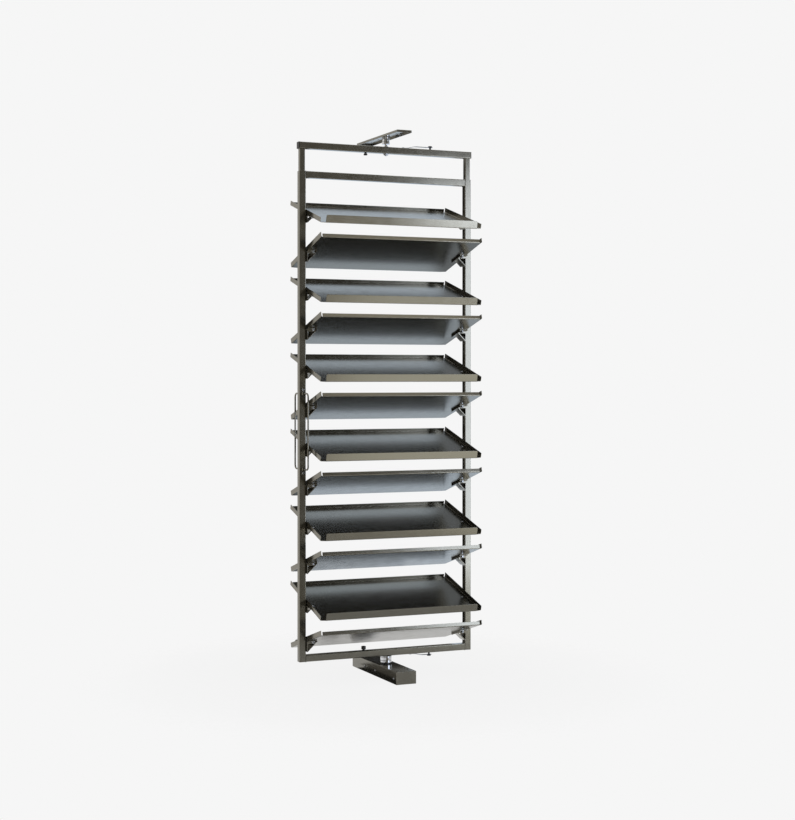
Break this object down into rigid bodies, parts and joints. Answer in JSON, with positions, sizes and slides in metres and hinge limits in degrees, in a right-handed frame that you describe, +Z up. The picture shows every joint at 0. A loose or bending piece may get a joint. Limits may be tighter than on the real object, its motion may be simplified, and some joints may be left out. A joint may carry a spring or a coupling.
{
  "type": "rotating shoe rack",
  "caption": "Tall shoe rack with slanted sheet-metal trays on a square-tube frame that turns between a floor base and a ceiling plate; its top section slides to set the height.",
  "frame": {"origin": "on the pivot axis, at the underside of the base", "axes": "+Z up along the pivot axis; X runs along the width from the left post (-X) with the handles to the right post (+X); -Y is the front, seen in the picture"},
  "size_m": [0.7056, 0.422, 2.026],
  "materials": {
    "graphite_powder_coat": "glossy dark graphite powder coat",
    "chrome_plate": "bright chrome",
    "zinc_plated_steel": "zinc plated",
    "spring_steel": "dark satin steel",
    "black_rubber": "matt",
    "black_plastic": "matt"
  },
  "bodies": {
    "base": {"base_cover": "graphite_powder_coat", "base_plate": "zinc_plated_steel", "thrust_bearing": "spring_steel"},
    "rack": {"left_post": "graphite_powder_coat", "right_post": "graphite_powder_coat", "bottom_rail": "graphite_powder_coat", "cross_rail": "graphite_powder_coat", "pivot_hub": "chrome_plate", "tray_01": "graphite_powder_coat", "tray_02": "graphite_powder_coat", "tray_03": "graphite_powder_coat", "tray_04": "graphite_powder_coat", "tray_05": "graphite_powder_coat", "tray_06": "graphite_powder_coat", "tray_07": "graphite_powder_coat", "tray_08": "graphite_powder_coat", "tray_09": "graphite_powder_coat", "tray_10": "graphite_powder_coat", "tray_11": "graphite_powder_coat", "tray_12": "graphite_powder_coat", "bracket_01_left": "graphite_powder_coat", "bracket_01_right": "graphite_powder_coat", "bracket_02_left": "graphite_powder_coat", "bracket_02_right": "graphite_powder_coat", "bracket_03_left": "graphite_powder_coat", "bracket_03_right": "graphite_powder_coat", "bracket_04_left": "graphite_powder_coat", "bracket_04_right": "graphite_powder_coat", "bracket_05_left": "graphite_powder_coat", "bracket_05_right": "graphite_powder_coat", "bracket_06_left": "graphite_powder_coat", "bracket_06_right": "graphite_powder_coat", "bracket_07_left": "graphite_powder_coat", "bracket_07_right": "graphite_powder_coat", "bracket_08_left": "graphite_powder_coat", "bracket_08_right": "graphite_powder_coat", "bracket_09_left": "graphite_powder_coat", "bracket_09_right": "graphite_powder_coat", "bracket_10_left": "graphite_powder_coat", "bracket_10_right": "graphite_powder_coat", "bracket_11_left": "graphite_powder_coat", "bracket_11_right": "graphite_powder_coat", "bracket_12_left": "graphite_powder_coat", "bracket_12_right": "graphite_powder_coat", "front_handle": "graphite_powder_coat", "rear_handle": "graphite_powder_coat", "bottom_leaf_spring": "spring_steel", "bottom_spring_pad": "black_rubber", "bottom_buffer": "black_rubber"},
    "top_frame": {"left_inner_post": "graphite_powder_coat", "right_inner_post": "graphite_powder_coat", "top_rail": "graphite_powder_coat", "left_end_cap": "black_plastic", "right_end_cap": "black_plastic", "top_pin": "chrome_plate", "top_leaf_spring": "spring_steel", "top_spring_pad": "black_rubber", "top_buffer": "black_rubber"},
    "ceiling_plate": {"top_plate": "graphite_powder_coat", "top_bush": "chrome_plate"}
  },
  "joints": [
    {"name": "rack_spin", "type": "hinge", "parent": "base", "child": "rack", "pos_m": [0, 0, 0.0517], "axis": [0, 0, 1], "continuous": true},
    {"name": "height_slide", "type": "slide", "parent": "rack", "child": "top_frame", "axis": [0, 0, 1], "range_m": [-0.07, 0.08]},
    {"name": "plate_spin", "type": "hinge", "parent": "top_frame", "child": "ceiling_plate", "pos_m": [0, 0, 2], "axis": [0, 0, 1], "continuous": true}
  ],
  "couplings": [
    {"joint": "plate_spin", "follows": "rack_spin", "ratio": -1}
  ]
}
